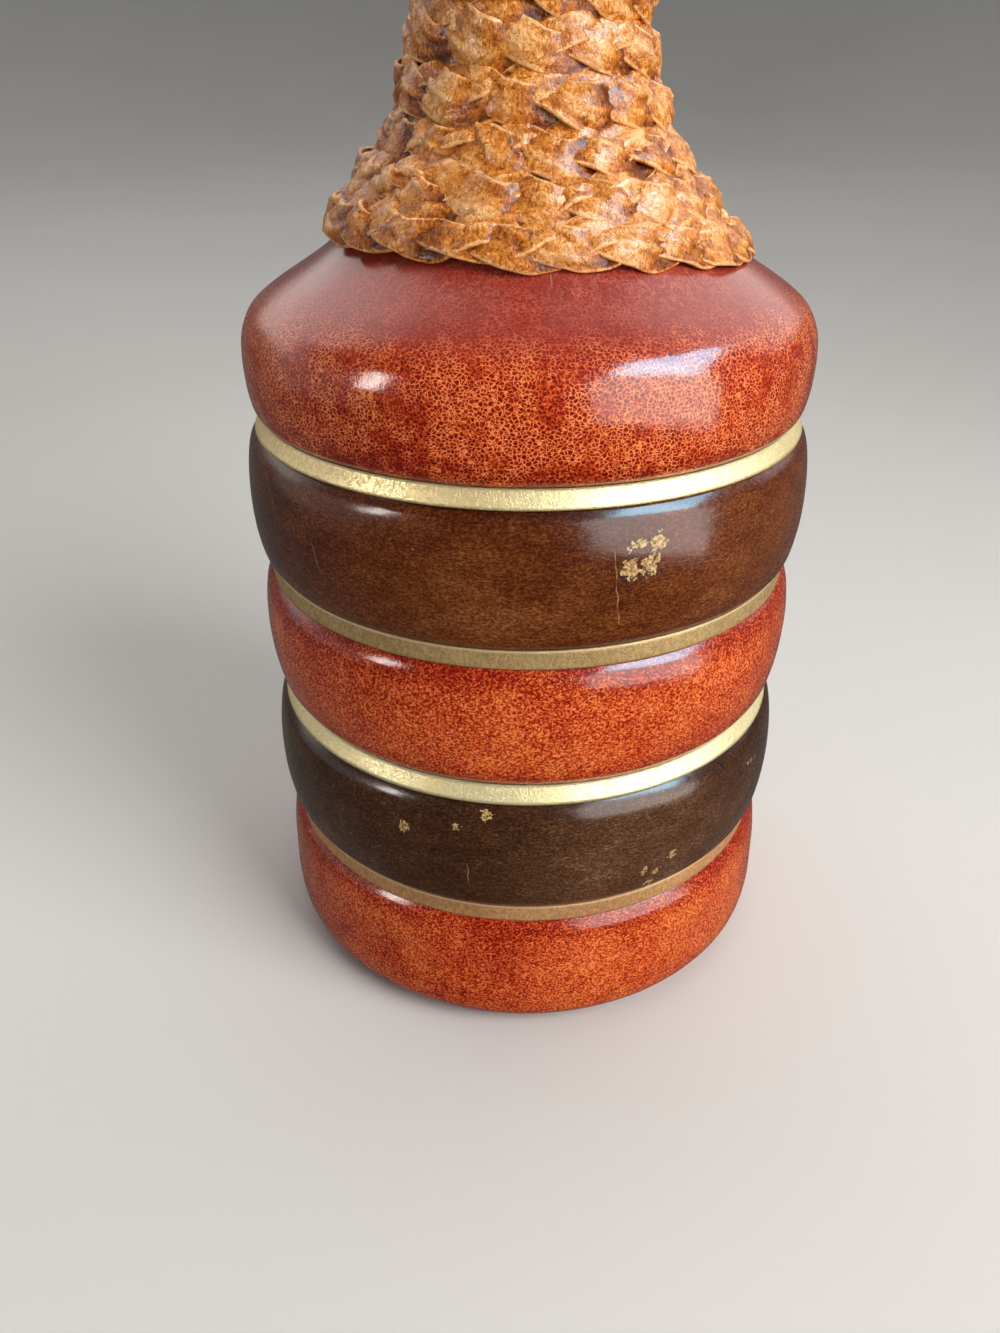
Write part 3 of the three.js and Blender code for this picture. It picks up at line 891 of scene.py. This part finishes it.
def red_leather(name, grain, upright, net, base):
    """Glossy red leather with orange flecks and a broken orange net, grain mm across.
    Returns it, its tone and its colour."""
    made, tree = blank(name)
    place = object_place(tree)
    drifted = stretched(warped(place, 420, 0.001), (1.0, 1.0, upright))
    broken = noise_of(place, 150, 3, 0.6)
    fleck = fade(noise_of(drifted, 1150 / grain, 2, 0.6, 0.3), 0.35, 0.65)
    fine = noise_of(drifted, 2900 / grain, 2, 0.6)
    lines = cracks_of(warped(drifted, 1500 / grain, 0.0007 * grain), 1000 / grain, 0.15)
    lines = calc("MULTIPLY", lines, fade(broken, 0.34, 0.6, 0.4, 1.0))
    patches = noise_of(place, 24, 3)
    blotches = noise_of(place, 85, 3, 0.55)
    # Darker towards the band's edges by the strips: partly darkened leather edges, partly painted shade in
    # the grooves.
    edge_wear_and_shade = fade(attribute(tree, "edge"), 0.3, 8.0, -0.32, 0.0)
    tone = layered((lines, net), (fleck, 0.7 - 0.5 * net), (fine, 0.4), (patches, 0.5))
    tone = layered((tone, 1.0), (edge_wear_and_shade, 0.7), (blotches, 0.3))
    tone = layered((tone, RED_CONTRAST), (1.0, base), (attribute(tree, "seam"), -0.6))
    colour = ramp(tone, RED_STOPS)
    amber = fade(blotches, 0.5, 0.68, 0.0, 0.22)
    colour = blend(amber, colour, ramp(tone, AMBER_STOPS))
    relief = layered((lines, 0.4), (fleck, 0.4), (fine, 0.3))
    waved = bump(noise_of(place, 240), 0.12, 0.0004)
    finish = {
        "Base Color": colour,
        "Roughness": fade(fine, 0.2, 0.8, 0.5, 0.38),
        "Normal": bump(relief, 0.6, 0.00015),
        "Coat Normal": bump(relief, 0.16, 0.00007, waved),
        "Specular IOR Level": 0.05,
        "Coat Weight": 0.9,
        "Coat Roughness": 0.12,
    }
    return finished(made, finish), tone, colour


# Duller, greyer reds for the shoulder's upward slope, partly a painted sheen of the room reflected in it.
SLOPE_SHEEN_STOPS = (
    (0.0, (0.15, 0.012, 0.006)),
    (0.5, (0.3, 0.032, 0.018)),
    (1.0, (0.52, 0.09, 0.055)),
)
CRAZE_COLOUR = (0.66, 0.25, 0.17, 1)
STREAK_COLOUR = (0.7, 0.4, 0.33, 1)


def shoulder_leather(name):
    """Red leather that is duller, crazed and scratched where it runs up under the plait; its duller, greyer
    pink there is partly a painted sheen.
    """
    made, tone, colour = red_leather(name, 0.8, 1.15, 0.85, -0.86)
    tree = made.node_tree
    up = attribute(tree, "up")
    flat = flat_place(tree, "girth", "rise")
    # The upward slope is painted duller and greyer: partly the smoother leather's own red, partly a painted
    # sheen.
    slope = fade(up, 0.36, 0.6)
    sheen_tone = layered((tone, 0.45), (1.0, 0.27))
    colour = blend(slope, colour, ramp(sheen_tone, SLOPE_SHEEN_STOPS))
    crazed = lines_of(warped(flat, 600, 0.001), 330, 0.035)
    crazed = calc("MULTIPLY", crazed, fade(noise_of(flat, 45), 0.42, 0.62))
    crazed = calc("MULTIPLY", crazed, fade(up, 0.5, 0.72, 0.0, 0.32))
    colour = blend(crazed, colour, CRAZE_COLOUR)
    drawn = stretched(warped(flat, 90, 0.0012), (1.0, 0.09, 1.0))
    streaks = fade(noise_of(drawn, 900, 1.0), 0.68, 0.76)
    streaks = calc("MULTIPLY", streaks, fade(up, 0.6, 0.8, 0.0, 0.26))
    colour = blend(streaks, colour, STREAK_COLOUR)
    return finished(made, {"Base Color": colour})


BROWN_STOPS = (
    (0.0, (0.03, 0.004, 0.0003)),
    (0.3, (0.078, 0.014, 0.0014)),
    (0.55, (0.14, 0.035, 0.005)),
    (0.8, (0.22, 0.075, 0.02)),
    (1.0, (0.32, 0.14, 0.055)),
)
# Darker, greyer stops for the lower brown band: painted shade.
SHADED_BROWN_STOPS = (
    (0.0, (0.02, 0.006, 0.0015)),
    (0.3, (0.048, 0.0165, 0.005)),
    (0.55, (0.085, 0.034, 0.0125)),
    (0.8, (0.15, 0.077, 0.042)),
    (1.0, (0.25, 0.15, 0.1)),
)
FLAKE_STOPS = (
    (0.3, (0.16, 0.08, 0.03)),
    (0.52, (0.43, 0.26, 0.09)),
    (0.72, (0.75, 0.56, 0.29)),
)
SCRATCH_COLOUR = (0.46, 0.28, 0.15, 1)
SCUFF_RIM_COLOUR = (0.03, 0.009, 0.003, 1)


def brown_leather(name, base, stops):
    """Dark brown leather with short level fibres, scuffed through to a pale tan in places."""
    made, tree = blank(name)
    place = object_place(tree)
    drifted = warped(place, 300, 0.001)
    fibres = noise_of(stretched(drifted, (1.0, 1.0, 3.0)), 640, 4, 0.7)
    fuzz = noise_of(stretched(drifted, (1.0, 1.0, 1.8)), 1500, 3, 0.65)
    hairs = fade(fuzz, 0.36, 0.68)
    speckle = noise_of(drifted, 1700, 2, 0.6)
    streaks = noise_of(stretched(place, (1.0, 1.0, 2.4)), 100, 4, 0.6)
    patches = noise_of(place, 19, 3)
    # Darker towards the band's edges by the strips: partly darkened leather edges, partly painted shade in
    # the grooves.
    edge_wear_and_shade = fade(attribute(tree, "edge"), 0.0, 5.0, -0.14, 0.0)
    tone = layered((fibres, 0.9), (hairs, 0.45), (streaks, 0.55), (patches, 1.1), (edge_wear_and_shade, 1.0))
    tone = layered((tone, 1.0), (1.0, base), (attribute(tree, "seam"), -0.5))
    colour = ramp(tone, stops)
    aside = calc("MULTIPLY_ADD", streaks, 1.6, -0.8)
    offset = calc("ABSOLUTE", calc("ADD", attribute(tree, "scratch"), aside))
    broken = fade(noise_of(place, 420), 0.38, 0.56, 0.1, 0.62)
    scratch = calc("MULTIPLY", fade(offset, 0.04, 0.15, 1.0, 0.0), broken)
    scratch = calc("MULTIPLY", scratch, attribute(tree, "scratched"))
    colour = blend(scratch, colour, SCRATCH_COLOUR)
    scuff = attribute(tree, "scuff")
    ragged = noise_of(warped(place, 700, 0.0016), 520, 4, 0.75)
    torn = layered((scuff, 1.0), (ragged, 2.6), (speckle, 0.9), (1.0, -1.75))
    torn = calc("MULTIPLY", torn, fade(scuff, 0.05, 0.3))
    rim = fade(torn, 0.28, 0.46, 0.0, 0.75)
    colour = blend(rim, colour, SCUFF_RIM_COLOUR)
    bare = fade(torn, 0.5, 0.62)
    colour = blend(bare, colour, ramp(speckle, FLAKE_STOPS))
    relief = layered((fibres, 0.5), (hairs, 0.4), (bare, -1.2), (scratch, -0.8))
    waved = bump(noise_of(place, 210), 0.14, 0.0004)
    finish = {
        "Base Color": colour,
        "Roughness": fade(speckle, 0.2, 0.8, 0.5, 0.38),
        "Normal": bump(relief, 0.25, 0.00012),
        "Coat Normal": bump(relief, 0.16, 0.00007, waved),
        "Specular IOR Level": 0.05,
        "Coat Weight": 0.8,
        "Coat Roughness": 0.16,
    }
    return finished(made, finish)


TAN_CONTRAST = 1.15
TAN_STOPS = (
    (0.0, (0.085, 0.015, 0.001)),
    (0.25, (0.27, 0.06, 0.003)),
    (0.5, (0.53, 0.152, 0.009)),
    (0.75, (0.77, 0.285, 0.038)),
    (1.0, (0.95, 0.52, 0.21)),
)
BURNISHED_STOPS = ((0.1, (0.2, 0.045, 0.003)), (0.8, (0.55, 0.16, 0.014)))


def tan_leather(name):
    """Tan leather strips, wrinkled and fibrous, burnished in places, with pale edges."""
    made, tree = blank(name)
    flat = flat_place(tree, "run", "span")
    drifted = warped(flat, 450, 0.0015)
    fuzz = noise_of(stretched(drifted, (1.2, 0.8, 1.0)), 1700, 3, 0.65)
    fibre = fade(fuzz, 0.3, 0.7)
    wrinkle = noise_of(drifted, 520, 4, 0.62)
    lines = lines_of(stretched(drifted, (1.3, 0.8, 1.0)), 400, 0.035, 4)
    small = lines_of(stretched(drifted, (1.3, 0.9, 1.0)), 900, 0.06, 2)
    patches = noise_of(flat, 120)
    ragged = layered((attribute(tree, "rim"), 1.0), (wrinkle, 0.35), (1.0, -0.17))
    rim = fade(ragged, 0.86, 1.0)
    # The tone attribute carries the strands' painted shade and light, besides random lobe tones and pale raw
    # rims.
    tone = layered((attribute(tree, "tone"), 1.0), (fibre, 0.28), (wrinkle, 0.5), (patches, 0.6))
    tone = layered((tone, 1.0), (1.0, -0.62), (lines, -0.26), (small, -0.1), (rim, 0.42))
    tone = layered((tone, TAN_CONTRAST), (1.0, 0.5 * (1 - TAN_CONTRAST)))
    colour = ramp(tone, TAN_STOPS)
    burnished = fade(noise_of(flat, 170, 3, 0.6), 0.5, 0.64, 0.0, 0.6)
    burnished = calc("MULTIPLY", burnished, fade(rim, 0.0, 1.0, 1.0, 0.0))
    colour = blend(burnished, colour, ramp(tone, BURNISHED_STOPS))
    rough = bump(layered((wrinkle, 1.0), (lines, -0.35), (small, -0.25)), 0.6, 0.0006)
    soft = bump(wrinkle, 0.25, 0.0004)
    finish = {
        "Base Color": colour,
        "Roughness": fade(burnished, 0.0, 0.6, 0.62, 0.27),
        "Normal": bump(fibre, 0.7, 0.00018, rough),
        "Coat Normal": bump(fibre, 0.35, 0.0001, soft),
        "Specular IOR Level": 0.1,
        "Coat Weight": 0.55,
        "Coat Roughness": 0.09,
    }
    return finished(made, finish)


LOW_EDGE_DARK_COLOUR = (0.2, 0.1, 0.03, 1)


def gilt(name, light, dark, edge):
    """Gilded leather with fine crackle, a painted highlight along its upper edge, and darker towards its
    lower edge.
    """
    made, tree = blank(name)
    place = object_place(tree)
    up = attribute(tree, "up")
    crackle = noise_of(stretched(place, (1.0, 1.0, 0.6)), 1300, 3, 0.7)
    lines = lines_of(place, 700, 0.04)
    patches = noise_of(place, 60, 4, 0.65)
    tone = layered((crackle, 1.6), (patches, 0.9), (lines, -0.45), (1.0, -0.66))
    colour = ramp(tone, ((0.2, dark), (0.8, light)))
    # A painted highlight along the strip's upper edge, where it catches the light.
    colour = blend(fade(up, 0.84, 0.94, 0.0, 0.75), colour, (*edge, 1))
    # Darker towards the strip's lower edge.
    colour = blend(fade(up, 0.02, 0.12, 0.6, 0.0), colour, LOW_EDGE_DARK_COLOUR)
    relief = layered((crackle, 0.8), (lines, -0.3))
    finish = {
        "Base Color": colour,
        "Roughness": fade(crackle, 0.25, 0.75, 0.46, 0.28),
        "Normal": bump(relief, 0.7, 0.00016),
        "Metallic": 0.5,
    }
    return finished(made, finish)


GLASS_TINT = (0.42, 0.6, 0.45, 1)


def tinted_glass(name):
    made, tree = blank(name)
    ripple = noise_of(object_place(tree), 60)
    finish = {
        "Base Color": GLASS_TINT,
        "Roughness": 0.03,
        "Normal": bump(ripple, 0.08, 0.0006),
        "IOR": 1.5,
        "Transmission Weight": 1.0,
    }
    return finished(made, finish)


CORK_STOPS = ((0.3, (0.33, 0.19, 0.09)), (0.5, (0.52, 0.34, 0.18)), (0.75, (0.66, 0.47, 0.28)))
PORE_COLOUR = (0.12, 0.06, 0.03, 1)


def cork(name):
    made, tree = blank(name)
    place = object_place(tree)
    flecks = noise_of(warped(place, 300, 0.002), 480, 4, 0.65)
    pores = noise_of(stretched(place, (1.0, 1.0, 2.5)), 220)
    dark = fade(pores, 0.58, 0.66)
    finish = {
        "Base Color": blend(dark, ramp(flecks, CORK_STOPS), PORE_COLOUR),
        "Roughness": 0.85,
        "Normal": bump(calc("SUBTRACT", flecks, dark), 0.6, 0.0004),
    }
    return finished(made, finish)


WOOD_STOPS = ((0.3, (0.16, 0.075, 0.03)), (0.55, (0.33, 0.17, 0.075)), (0.8, (0.45, 0.26, 0.12)))


def wood(name):
    made, tree = blank(name)
    grain = noise_of(stretched(object_place(tree), (1.0, 1.0, 0.12)), 420, 4, 0.6, 0.6)
    finish = {
        "Base Color": ramp(grain, WOOD_STOPS),
        "Roughness": fade(grain, 0.3, 0.7, 0.65, 0.5),
        "Normal": bump(grain, 0.2, 0.0001),
    }
    return finished(made, finish)


FELT_STOPS = ((0.3, (0.012, 0.008, 0.006)), (0.7, (0.05, 0.032, 0.022)))


def felt(name):
    made, tree = blank(name)
    fuzz = noise_of(object_place(tree), 2200, 4, 0.7)
    finish = {
        "Base Color": ramp(fuzz, FELT_STOPS),
        "Roughness": 0.95,
        "Normal": bump(fuzz, 0.7, 0.0003),
    }
    return finished(made, finish)


PAPER_STOPS = ((0.3, (0.63, 0.63, 0.625)), (0.7, (0.66, 0.66, 0.655)))


def paper(name):
    made, tree = blank(name)
    mottle = noise_of(object_place(tree), 3.0)
    finish = {
        "Base Color": ramp(mottle, PAPER_STOPS),
        "Roughness": 0.9,
        "Specular IOR Level": 0.0,
    }
    return finished(made, finish)


# Pieces

SHOULDER_RED = shoulder_leather("shoulder_red")
BAND_RED, _, _ = red_leather("band_red", 0.66, 1.2, 0.3, -0.77)
BROWN = brown_leather("band_brown", -1.07, BROWN_STOPS)
# A darker, greyer copy of the band leather: painted shade for the lower brown band.
SHADED_BROWN = brown_leather("shaded_brown", -1.07, SHADED_BROWN_STOPS)
TAN = tan_leather("plait_tan")
# Four copies of one gilding. The darker ones on strips 1 and 3 are partly aged gilt and partly painted
# shade, where those strips stand upright under the overhanging band above.
BRIGHT_GILT = gilt("bright_gilt", (0.92, 0.77, 0.42), (0.7, 0.52, 0.22), (0.93, 0.8, 0.5))
AGED_SHADED_GILT = gilt("aged_shaded_gilt", (0.68, 0.48, 0.21), (0.4, 0.25, 0.1), (0.88, 0.7, 0.42))
PALE_GILT = gilt("pale_gilt", (0.96, 0.87, 0.52), (0.84, 0.66, 0.32), (0.96, 0.88, 0.62))
WORN_SHADED_GILT = gilt("worn_shaded_gilt", (0.85, 0.49, 0.21), (0.52, 0.26, 0.1), (0.9, 0.68, 0.42))
GLASS = tinted_glass("tinted_glass")
FELT = felt("foot_felt")
CORK = cork("cork")
WOOD = wood("knob_wood")

BAND = {"uneven": LEATHER_UNEVEN, "reach": BAND_REACH}
BANDS = (
    ("foot_band", "base_band", "red_leather", BAND_RED, 176, UNWORN),
    ("brown_band_low", "lower_brown_band", "brown_leather", SHADED_BROWN, 181, LOW_BAND_WEAR),
    ("red_band", "middle_red_band", "red_leather", BAND_RED, 178, UNWORN),
    ("brown_band_high", "upper_brown_band", "brown_leather", BROWN, 183, HIGH_BAND_WEAR),
    ("shoulder_leather", "shoulder_cover", "red_leather", SHOULDER_RED, 179, UNWORN),
)
STRIP = {"uneven": STRIP_UNEVEN, "reach": STRIP_REACH, "rounding": STRIP_ROUNDING}
STRIPS = (
    ("gilt_1", "gilt_strip_1", WORN_SHADED_GILT, 177, 0.0),
    ("gilt_2", "gilt_strip_2", PALE_GILT, 180, STRIP_LEAN),
    ("gilt_3", "gilt_strip_3", AGED_SHADED_GILT, 183, 0.0),
    ("gilt_4", "gilt_strip_4", BRIGHT_GILT, 186, STRIP_LEAN),
)
KNOB = {"uneven": KNOB_UNEVEN, "segments": KNOB_SEGMENTS}
RING = {**STRIP, "seam": 180, "segments": KNOB_SEGMENTS}
PLUG = {"uneven": KNOB_UNEVEN, "segments": CORE_SEGMENTS}

turned_piece("bottle_glass", "glass_bottle", "bottle", "glass", GLASS, segments=HIDDEN_SEGMENTS)
turned_piece("foot_pad", "base_pad", "bottle", "felt", FELT, segments=HIDDEN_SEGMENTS)
for name, node, slot, material, seam, wear in BANDS:
    turned_piece(name, node, "bottle", slot, material, seam=seam, wear=wear, **BAND)
for name, node, material, seam, lean in STRIPS:
    turned_piece(name, node, "bottle", "gilt", material, seam=seam, lean=lean, **STRIP)
plait(TAN)
turned_piece("cork_plug", "stopper_cork", "stopper", "cork", CORK, **PLUG)
turned_piece("knob_dowel", "stopper_dowel", "stopper", "wood", WOOD, segments=DOWEL_SEGMENTS)
turned_piece("knob_core", "stopper_knob", "stopper", "wood", WOOD, segments=CORE_SEGMENTS)
turned_piece("knob_leather", "stopper_cover", "stopper", "red_leather", BAND_RED, **KNOB)
turned_piece("knob_gilt", "stopper_ring", "stopper", "gilt", BRIGHT_GILT, **RING)


# Floor, light and camera


def floor():
    """A round floor that sweeps up into a wall far behind the object, on every side."""
    rings = [(radius, 0.0) for radius in FLOOR_RADII]
    for step in range(1, SWEEP_STEPS + 1):
        angle = math.pi / 2 * step / SWEEP_STEPS
        radius = FLOOR_RADII[-1] + SWEEP_RADIUS * math.sin(angle)
        rings.append((radius, SWEEP_RADIUS * (1 - math.cos(angle))))
    turns = np.linspace(0, 2 * math.pi, FLOOR_SIDES, endpoint=False)
    vertices = [(0, 0, 0)]
    for radius, height in rings:
        vertices.extend(round_axis(radius, turns, np.full_like(turns, height)) / MM)
    faces = [(0, 1 + side, 1 + (side + 1) % FLOOR_SIDES) for side in range(FLOOR_SIDES)]
    faces += tube_faces(1, len(rings), FLOOR_SIDES)
    made = new_object("floor", vertices, faces, {}, paper("floor_paper"))
    made.visible_glossy = False


def softbox(name, place, aim, size, turn, radiance, colour, glossy, spread=180):
    """A rectangular light at a place that faces aim, turned about that line. It either shows in gloss
    alone, or only lights."""
    light = bpy.data.lights.new(name, "AREA")
    light.shape = "RECTANGLE"
    light.size, light.size_y = size
    light.energy = radiance * math.pi * size[0] * size[1]
    light.color = colour
    light.spread = math.radians(spread)
    made = bpy.data.objects.new(name, light)
    facing = (Vector(aim) - Vector(place)).to_track_quat("-Z", "Y").to_matrix().to_4x4()
    made.matrix_world = Matrix.Translation(place) @ facing @ Matrix.Rotation(math.radians(turn), 4, "Z")
    made.visible_camera = False
    made.visible_glossy = glossy
    made.visible_diffuse = not glossy
    bpy.context.scene.collection.objects.link(made)


def sky():
    """A dim room with a pale wall high up behind, and a lit one on the left."""
    world = bpy.data.worlds.new("dim_room")
    world.use_nodes = True
    tree = world.node_tree
    direction = tree.nodes.new("ShaderNodeTexCoord").outputs["Generated"]
    across, ahead, up = fed("SeparateXYZ", {0: direction}).outputs
    behind = calc("MULTIPLY", fade(ahead, 0.1, 0.45), fade(up, 0.1, 0.35))
    behind = calc("MULTIPLY", behind, fade(up, 0.78, 0.96, 1.0, 0.35))
    left = calc("MULTIPLY", fade(across, -0.9, -0.45, 1.0, 0.0), fade(up, -0.12, 0.1))
    left = calc("MULTIPLY", left, fade(up, 0.4, 0.75, 1.0, 0.0))
    around = fade(ahead, -0.35, 0.1)
    strength = layered((behind, WALL_BEHIND), (left, WALL_LEFT), (around, ROOM_AROUND), (1.0, ROOM))
    fill(tree.nodes["Background"], {"Color": (*WARM, 1), "Strength": strength})
    bpy.context.scene.world = world


def camera():
    data = bpy.data.cameras.new("camera")
    data.sensor_width = SENSOR
    data.lens = FOCAL_PIXELS / IMAGE_HEIGHT * SENSOR
    data.clip_start = CLIP_START
    made = bpy.data.objects.new("camera", data)
    tilt = Matrix.Rotation(math.radians(90 - CAMERA_PITCH), 4, "X")
    roll = Matrix.Rotation(math.radians(-CAMERA_ROLL), 4, "Z")
    made.matrix_world = Matrix.Translation(CAMERA_PLACE) @ tilt @ roll
    bpy.context.scene.collection.objects.link(made)
    bpy.context.scene.camera = made


floor()
sky()
softbox("key", (0.62, -0.52, 0.62), MIDDLE, (0.6, 0.6), 0, 2.7, WARM, False, 90)
softbox("overhead", (0.0, 0.0, 3.5), MIDDLE, (5.0, 5.0), 0, 0.36, WARM, False)
softbox("front_fill", (-0.7, -1.6, 0.9), MIDDLE, (1.8, 1.4), 0, 0.1, WARM, False)
softbox("window", (1.218, -1.718, 1.038), (0.0, -1.718, 1.038), (2.64, 2.70), 0, 5.0, WARM, True)
softbox("window_sky", (1.248, -0.548, 1.848), (0.0, -0.548, 1.848), (1.80, 1.26), -53.8, 16.5, COOL, True)
softbox("left_wall", (-1.0, -0.05, 0.25), MIDDLE, (1.0, 0.6), 0, 0.4, WARM, True)
softbox("small_left", (-0.70, -0.40, 0.42), MIDDLE, (0.12, 0.32), 0, 20.0, WARM, True)
camera()
bpy.context.scene.view_settings.view_transform = "Standard"
